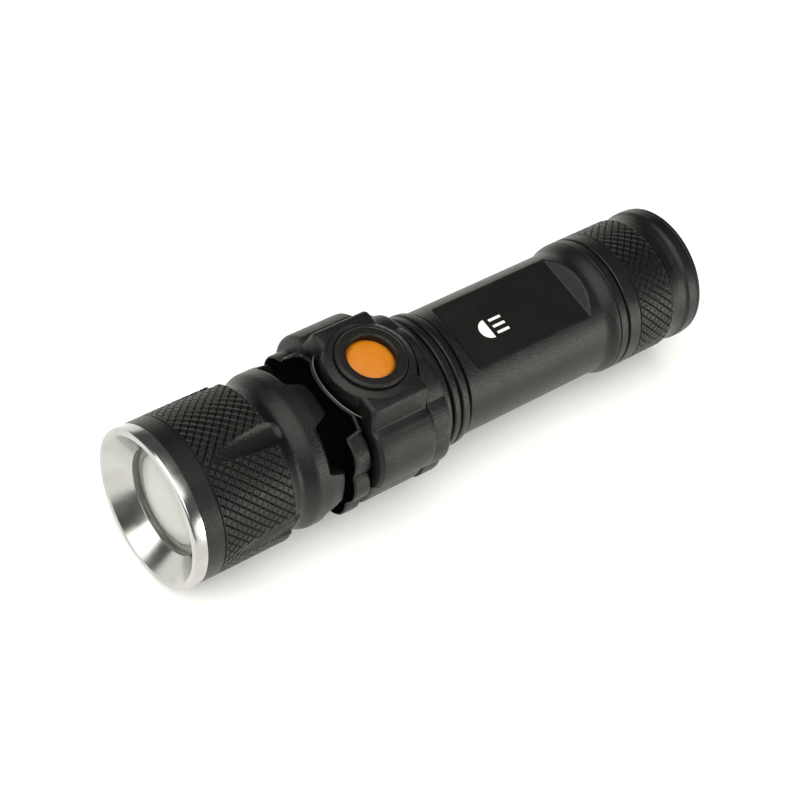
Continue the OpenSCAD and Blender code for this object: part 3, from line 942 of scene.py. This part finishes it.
def make_barrel():
    """The slide with its clip and seal grooves, three turned rings, and the hollow inside."""
    front, slide, rear = 13.0, 13.4, 66.8
    pill_r, pill_floor = 11.5, 20.0
    clip_front, clip_rear, clip_r = 14.1, 15.3, 12.7
    seal_front, seal_rear, seal_r = 23.8, 25.4, 12.05
    outside = [
        (front, pill_r), (front, slide, 0.4), (clip_front, slide, 0.05), (clip_front, clip_r),
        (clip_rear, clip_r), (clip_rear, slide, 0.05), (seal_front, slide, 0.05),
        (seal_front, seal_r), (seal_rear, seal_r), (seal_rear, slide, 0.05),
        (COLLAR_FRONT + 1, slide),
    ]
    ring_start, ring_r, waist_r = 60.4, 14.55, 13.5
    rings = [
        (ring_start, slide), (ring_start, ring_r, 0.35), (61.85, ring_r, 0.35),
        (62.05, waist_r, 0.15), (62.5, waist_r, 0.15), (62.75, 14.35, 0.4), (64.2, 14.3, 0.35),
        (64.4, waist_r + 0.05, 0.1), (64.7, waist_r + 0.05, 0.1), (64.9, 14.3, 0.4),
        (66.7, 14.15, 0.5), (rear, 13.2, 0.1),
    ]
    thread_r, thread_floor = 11.98, 59.0
    board_seat, cavity_r = 42.0, 9.0
    web_rear, lead_r = 38.0, 3.0
    inside = [
        (rear, thread_r), (thread_floor, thread_r), (thread_floor, BAY_R), (board_seat, BAY_R),
        (board_seat, cavity_r), (web_rear, cavity_r), (web_rear, lead_r), (pill_floor, lead_r),
        (pill_floor, pill_r),
    ]
    piece = revolved("barrel", outside + rings + inside, sharp=30)

    flat_half, flat_low, flat_start, flat_end = 8, 11.0, 38.8, 54.8
    flat = block("flat", (-flat_half, flat_start, flat_low), (flat_half, flat_end, 16))
    combine(piece, flat, "DIFFERENCE")
    hole_r, hole_s = 1.6, 40
    hole = []
    for a in np.arange(24) * math.pi / 12:
        hole.append((hole_r * math.sin(a), hole_s + hole_r * math.cos(a)))
    combine(piece, prism("flex_way", hole, 5, 12), "DIFFERENCE")
    shade(piece.data, 30)
    stand_for(piece, "front_barrel")
    # Painted shade on the slide's faces in front of the collar.
    paint_hollow_shade(piece, COLLAR_FRONT + 1, slide + 0.1)


def make_tube():
    """The battery tube: its long flat, the flared rear end, and the threads at both ends."""
    columns = 480
    angle = np.arange(columns) * 2 * math.pi / columns
    up = np.cos(angle)
    front, rear = 67.5, stations("tail_tube")[1]
    flat_front, flat_rear, ramp = 71.0, 100.5, math.tan(math.radians(35))
    flare, flare_length = 103.4, 3.6
    line_s, line_half, line_depth = 107.1, 0.2, 0.28
    edge, no_flat, blend = 0.25, 99, 0.22

    def body(s):
        """Outer radius: the plain tube, then the flare up to the tail's radius."""
        rise = smoothstep((s - flare) / flare_length)
        radius = TUBE_R + (TAIL_R - TUBE_R) * rise
        return radius - line_depth * max(0, 1 - abs(s - line_s) / line_half)

    def outer(s):
        """The body with the flat, which ramps up to it at both ends."""
        top = FLAT_H + max(0, flat_front - s, s - flat_rear) / ramp
        flat = np.where(up > 0.2, top / np.maximum(up, 0.2), no_flat)
        return smooth_min(body(s), flat, blend)

    # Stations are close where the flat ramps, the tube flares and the line is turned.
    marks = [front, 67.7, 68.2, 68.8]
    marks += [*np.linspace(69.0, 71.4, 17), *np.linspace(72, 99.6, 28)]
    marks += [*np.linspace(100.1, 103.4, 22), *np.linspace(103.7, 106.7, 12)]
    marks += [106.88, 107.0, 107.1, 107.2, 107.32, 107.6, 108.2, 108.8, CAP_SEAM - edge]
    rows = [(front, 12.9)] + [(s, outer(s) - (edge if s == front else 0)) for s in marks]
    rows += [(CAP_SEAM - 0.07, TAIL_R - 0.08), (CAP_SEAM, TAIL_R - 0.3)]
    rear_r, front_r, cut, seal_depth, start = 12.2, 11.9, 0.55, 1.2, 59.2
    rows += threaded(CAP_SEAM, rear - 0.4, rear_r, cut, (109.75, 111.25, rear_r - seal_depth))
    rows += [(rear, rear_r - 0.4), (rear, BAY_R), (start, BAY_R), (start, front_r - 0.4)]
    rows += threaded(59.6, front, front_r, cut, (64.65, 66.15, front_r - seal_depth))
    piece = swept("battery_tube", rows, columns, sharp=30)
    stand_for(piece, "tail_tube")


def threaded(start, end, radius, depth, seal):
    """Rows of a length with plain rings for a thread, and a seal's (start, end, radius)."""
    pitch, margin = 1.0, 0.15
    low, high, floor = seal
    rows = [(start, radius)]
    s = start + 0.3
    while s + pitch < end - 0.2:
        if s + pitch > low - margin and s < high + margin:
            rows += [(low, radius), (low, floor), (high, floor), (high, radius)]
            s = high + 0.2
            continue
        rows += [(s, radius), (s + 0.4 * pitch, radius - depth), (s + 0.6 * pitch, radius - depth)]
        s += pitch
    rows.append((end, radius))
    return rows


def make_tail():
    """The cap: a turned line, the knurl, a neck and lip, the recessed end and the inside."""
    knurl_start, knurl_end, knurl_depth = 112.95, 121.65, 0.26
    knurl = Knurl(TAIL_R, knurl_start, knurl_end)
    face = CAP_SEAM + 0.4
    rows = [(face, CAP_THREAD_R), (face, TAIL_R - 0.35)]
    rows += [(face + 0.08, TAIL_R - 0.12), (face + 0.3, TAIL_R)]
    rows += turned_line(112.7, TAIL_R, 0.2, 0.06, 0.25)
    split = knurl.split_from(len(rows))
    rows += knurl.carved(knurl_depth, 0.2)
    edge = knurl_end + 0.12
    rows.append((edge, TAIL_R - 0.05))

    recess, rim_r = LENGTH - 1, 13.7
    rows += fillet([
        (edge, 14.45), (122.4, 14.1, 0.8), (124.2, 13.95, 1.5), (125.9, 14.1, 0.6),
        (126.7, 14.48, 0.4), (128.7, 14.5, 0.2), (128.95, 14.3, 0.1), (129.15, 14.42, 0.1),
        (129.8, 14.3, 0.3), (LENGTH, rim_r, 0.2), (LENGTH, 10.6, 0.2), (recess, 10.0, 0.2),
        (recess, 9.0),
    ], closed=False)[1:]
    groove, near_axis = LENGTH - 1.15, 0.02
    rows += [(recess, 8.2), (groove, 8.1), (groove, 7.6), (recess, 7.5)]
    rows += [(recess, 3.0), (recess, 1.0), (recess, near_axis)]

    board, well_r = stations("tail_board")[1] + 0.05, 11.5
    tube_end = stations("tail_tube")[1] + 0.1
    rows += [(board, near_axis), (board, 6.0), (board, well_r), (tube_end, well_r)]
    rows += [(tube_end, CAP_THREAD_R)]
    piece = swept("tail_cap_shell", rows, knurl.columns, sharp=28, knurl=split)
    stand_for(piece, "tail_cap")


# ---------- Inside ----------


def make_spring(name, node, coil_r, wire_r, turns):
    """A helical spring with half a closed turn at each end."""
    start, end = stations(node)
    closed, steps = 0.5, 30 * (turns + 1)
    path = []
    for k in range(steps + 1):
        u = k / steps
        turned_by = 2 * math.pi * (turns + 1) * u
        rise = smoothstep((u * (turns + 1) - closed) / turns)
        s = start + wire_r + (end - start - 2 * wire_r) * rise
        path.append(place((coil_r, turned_by, s)))
    piece = tube_along(name, path, wire_r * MM, 12)
    stand_for(piece, node)


def make_driver_details():
    """Solder pads on the driver board's front."""
    front, pad_h, pad_r = stations("driver_board")[0], 0.12, 0.8
    for k, (x, h) in enumerate([(-6.0, -4.5), (6.2, -4.2), (-6.4, 4.6), (6.6, 4.4)]):
        pad = around_axis_disc(f"driver_pad_{k}", x, h, front - pad_h, front, pad_r)
        add_to(pad, "driver_board", "spring_steel")


def around_axis_disc(name, x, h, start, end, radius):
    """A small domed disc facing forwards at (x, height), between two stations."""
    columns = 32
    points = []
    for s, r in ((end, radius), (start + 0.05, radius * 0.92), (start, radius * 0.6)):
        for j in range(columns):
            a = 2 * math.pi * j / columns
            points.append(
                ((x + r * math.cos(a)) * MM, FRONT_Y + s * MM, AXIS_Z + (h + r * math.sin(a)) * MM)
            )
    faces = swept_faces(3, columns, False)
    faces.append(list(range(columns)))
    faces.append([2 * columns + j for j in range(columns)][::-1])
    return mesh_piece(name, np.array(points), faces)


def paint_cad_nodes():
    """Every CAD node still shown takes its slot's material."""
    for name, node in frame["nodes"].items():
        paint(node, SLOT_OF[name])
        shade(node.data, 35)


# ---------- Generic mark on the tube's flat ----------


def make_mark():
    """A plain beam sign in white print: a half disc and three rays."""
    low, high = FLAT_H - 0.02, FLAT_H + 0.02

    def print_on(name, outline):
        add_to(prism(name, outline, low, high), "tail_tube", "print_white")

    centre_x, centre_s, lamp_r = 1.0, 79.0, 2.3
    lamp = []
    for k in range(25):
        a = math.pi * k / 24
        lamp.append((lamp_r * math.cos(a) + centre_x, centre_s - lamp_r * math.sin(a)))
    print_on("print_lamp", lamp)
    ray_half, start, end = 0.3, centre_s + 1.0, centre_s + 4.0
    for k, x in enumerate((-0.6, centre_x, 2.6)):
        left, right = x - ray_half, x + ray_half
        print_on(f"print_ray_{k}", [(left, start), (right, start), (right, end), (left, end)])


# ---------- Studio ----------


def make_studio():
    """A pale floor and world, and three square soft lights."""
    floor = bpy.data.meshes.new("floor")
    half = 3.0
    corners = [(-half, -half, 0), (half, -half, 0), (half, half, 0), (-half, half, 0)]
    floor.from_pydata(corners, [], [(0, 1, 2, 3)])
    ground = add_object("floor", floor)
    material, nodes, links, shader = new_material("pale_floor")
    drift = noise(nodes, links, 3, 2)
    colour = blend_colours(nodes, links, drift, (0.9, 0.9, 0.9), (0.93, 0.93, 0.93))
    links.new(colour, shader.inputs["Base Color"])
    shader.inputs["Roughness"].default_value = 0.9
    shader.inputs["Specular IOR Level"].default_value = 0.1
    floor.materials.append(material)

    world = bpy.data.worlds.new("studio")
    world.use_nodes = True
    background = world.node_tree.nodes["Background"]
    background.inputs["Color"].default_value = (1, 1, 1, 1)
    background.inputs["Strength"].default_value = 0.12
    bpy.context.scene.world = world

    softbox("overhead", (0.1, -0.4, 1.0), 1.7, 32.0)
    softbox("front", (-0.26, -0.78, 0.34), 0.42, 2.2)
    softbox("side", (0.6, 0.36, 0.12), 0.2, 3.0)


def softbox(name, offset, size, power):
    """A square soft light aimed at the torch's middle; offset and size in metres."""
    light = bpy.data.lights.new(name, "AREA")
    light.shape = "RECTANGLE"
    light.size = size
    light.size_y = size
    light.energy = power
    light.color = (1.0, 0.985, 0.93)
    lamp = bpy.data.objects.new(name, light)
    bpy.context.scene.collection.objects.link(lamp)
    lamp.location = MIDDLE + Vector(offset)
    lamp.rotation_euler = (MIDDLE - lamp.location).to_track_quat("-Z", "Y").to_euler()


def make_camera():
    """The photo's viewpoint; its direction and place were fitted to the torch's outline."""
    data = bpy.data.cameras.new("camera")
    data.lens = 96.03
    data.sensor_width = 36
    data.clip_start = 0.01
    camera = bpy.data.objects.new("camera", data)
    right = Vector((0.57626, 0.78439, 0.22948))
    up = Vector((-0.73403, 0.37328, 0.56732))
    back = Vector((0.35934, -0.49537, 0.79087))
    spin = Matrix((right, up, back)).transposed().to_4x4()
    from_axis = Vector((0.1548, -0.2171, 0.3366))
    camera.matrix_world = Matrix.Translation(MIDDLE + from_axis) @ spin
    bpy.context.scene.collection.objects.link(camera)
    bpy.context.scene.camera = camera


make_camera()
paint_cad_nodes()
make_bezel()
make_lens()
make_sleeve()
make_collar()
make_trim()
make_button()
make_barrel()
make_tube()
make_tail()
make_spring("contact_spring", "front_spring", 2.2, 0.4, 5)
make_spring("tail_coil", "tail_spring", 5.0, 0.5, 4)
make_driver_details()
make_mark()
make_studio()
bpy.context.scene.view_settings.view_transform = "Standard"
